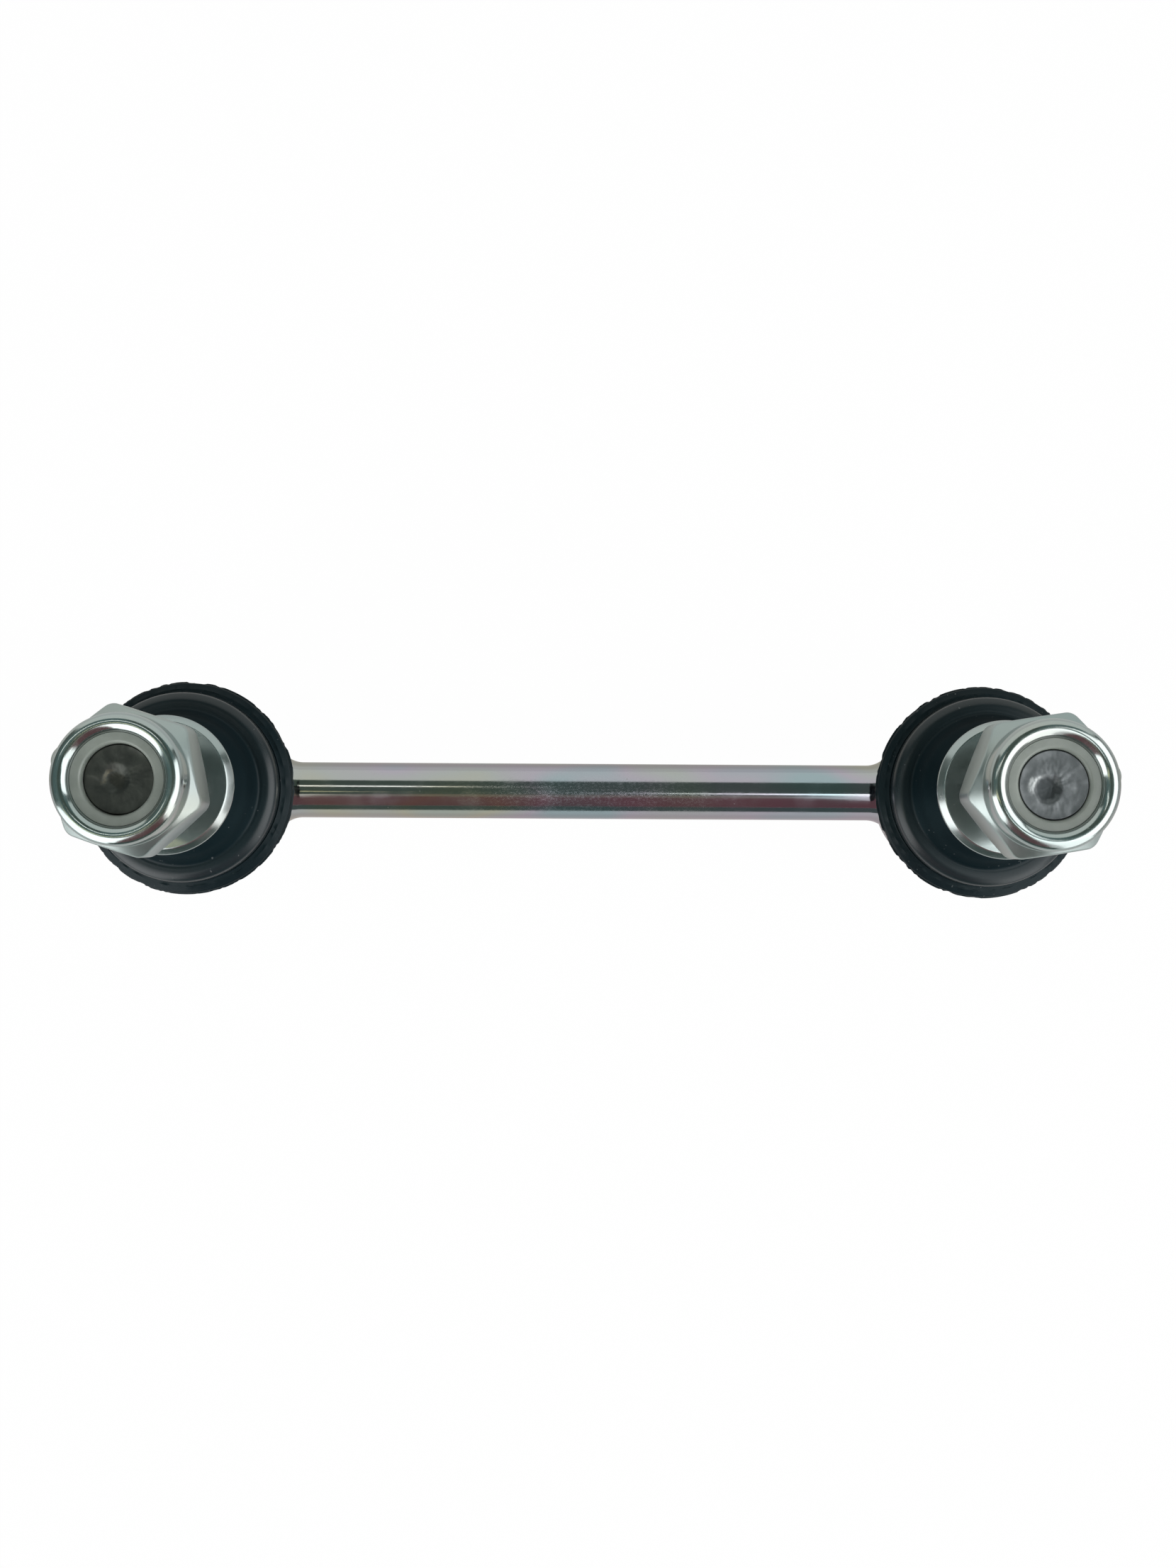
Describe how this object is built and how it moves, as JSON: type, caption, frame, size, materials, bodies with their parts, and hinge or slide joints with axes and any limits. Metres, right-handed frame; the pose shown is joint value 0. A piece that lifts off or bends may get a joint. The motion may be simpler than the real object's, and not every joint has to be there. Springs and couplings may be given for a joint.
{
  "type": "stabilizer link",
  "caption": "Stabilizer link: a plated steel rod with a booted ball joint, threaded stud and lock nut at each end, to tie an anti-roll bar to a suspension arm.",
  "frame": {"origin": "on the plane of the two housings' undersides, midway between the ball centres", "axes": "+X along the rod to the right end, +Z along the studs towards their tips, +Y across"},
  "size_m": [0.142, 0.03, 0.0521],
  "materials": {
    "rod_zinc": "bright zinc plating with a faint iridescent passivation",
    "housing_zinc": "bright zinc plating over a machined forging",
    "cap_zinc": "zinc-plated pressed sheet",
    "seat_acetal": "smooth moulded acetal",
    "ball_steel": "ground and polished, greased",
    "stud_zinc": "bright zinc plating, smooth on the collar",
    "boot_rubber": "matte moulded rubber with a little dust",
    "ring_wire": "phosphated spring wire",
    "nut_zinc": "bright zinc plating",
    "insert_nylon": "translucent grey-beige nylon"
  },
  "bodies": {
    "link": {"link_rod": "rod_zinc", "left_socket_housing": "housing_zinc", "left_end_cap": "cap_zinc", "left_ball_seat": "seat_acetal", "left_dust_boot": "boot_rubber", "left_boot_base_ring": "ring_wire", "right_socket_housing": "housing_zinc", "right_end_cap": "cap_zinc", "right_ball_seat": "seat_acetal", "right_dust_boot": "boot_rubber", "right_boot_base_ring": "ring_wire"},
    "left_ball_body": {"left_ball": "ball_steel"},
    "left_neck_body": {"left_boot_neck_ring": "ring_wire"},
    "left_stud_body": {"left_ball_stud": "stud_zinc"},
    "left_insert_body": {"left_nylon_insert": "insert_nylon"},
    "left_nut_body": {"left_lock_nut": "nut_zinc"},
    "right_ball_body": {"right_ball": "ball_steel"},
    "right_neck_body": {"right_boot_neck_ring": "ring_wire"},
    "right_stud_body": {"right_ball_stud": "stud_zinc"},
    "right_insert_body": {"right_nylon_insert": "insert_nylon"},
    "right_nut_body": {"right_lock_nut": "nut_zinc"}
  },
  "joints": [
    {"name": "left_stud_swing_along", "type": "hinge", "parent": "link", "child": "left_ball_body", "pos_m": [-0.056, 0, 0.0115], "axis": [0, 1, 0], "range_deg": [-17, 17], "deforming": ["left_dust_boot"]},
    {"name": "left_stud_swing_across", "type": "hinge", "parent": "left_ball_body", "child": "left_neck_body", "pos_m": [-0.056, 0, 0.0115], "axis": [1, 0, 0], "range_deg": [-17, 17], "deforming": ["left_dust_boot"]},
    {"name": "left_stud_spin", "type": "hinge", "parent": "left_neck_body", "child": "left_stud_body", "pos_m": [-0.056, 0, 0.0115], "axis": [0, 0, 1], "continuous": true},
    {"name": "left_nut_travel", "type": "slide", "parent": "left_stud_body", "child": "left_insert_body", "axis": [0, 0, 1], "range_m": [-0.00641, 0.01001]},
    {"name": "left_nut_turn", "type": "hinge", "parent": "left_insert_body", "child": "left_nut_body", "pos_m": [-0.056, 0, 0.0115], "axis": [0, 0, 1], "range_deg": [-1843.2, 2880]},
    {"name": "right_stud_swing_along", "type": "hinge", "parent": "link", "child": "right_ball_body", "pos_m": [0.056, 0, 0.0115], "axis": [0, 1, 0], "range_deg": [-17, 17], "deforming": ["right_dust_boot"]},
    {"name": "right_stud_swing_across", "type": "hinge", "parent": "right_ball_body", "child": "right_neck_body", "pos_m": [0.056, 0, 0.0115], "axis": [1, 0, 0], "range_deg": [-17, 17], "deforming": ["right_dust_boot"]},
    {"name": "right_stud_spin", "type": "hinge", "parent": "right_neck_body", "child": "right_stud_body", "pos_m": [0.056, 0, 0.0115], "axis": [0, 0, 1], "continuous": true},
    {"name": "right_nut_travel", "type": "slide", "parent": "right_stud_body", "child": "right_insert_body", "axis": [0, 0, 1], "range_m": [-0.00581, 0.01001]},
    {"name": "right_nut_turn", "type": "hinge", "parent": "right_insert_body", "child": "right_nut_body", "pos_m": [0.056, 0, 0.0115], "axis": [0, 0, 1], "range_deg": [-1670.4, 2880]}
  ],
  "couplings": [
    {"joint": "left_nut_travel", "follows": "left_nut_turn", "m_per_rad": 0.00019894},
    {"joint": "right_nut_travel", "follows": "right_nut_turn", "m_per_rad": 0.00019894}
  ]
}
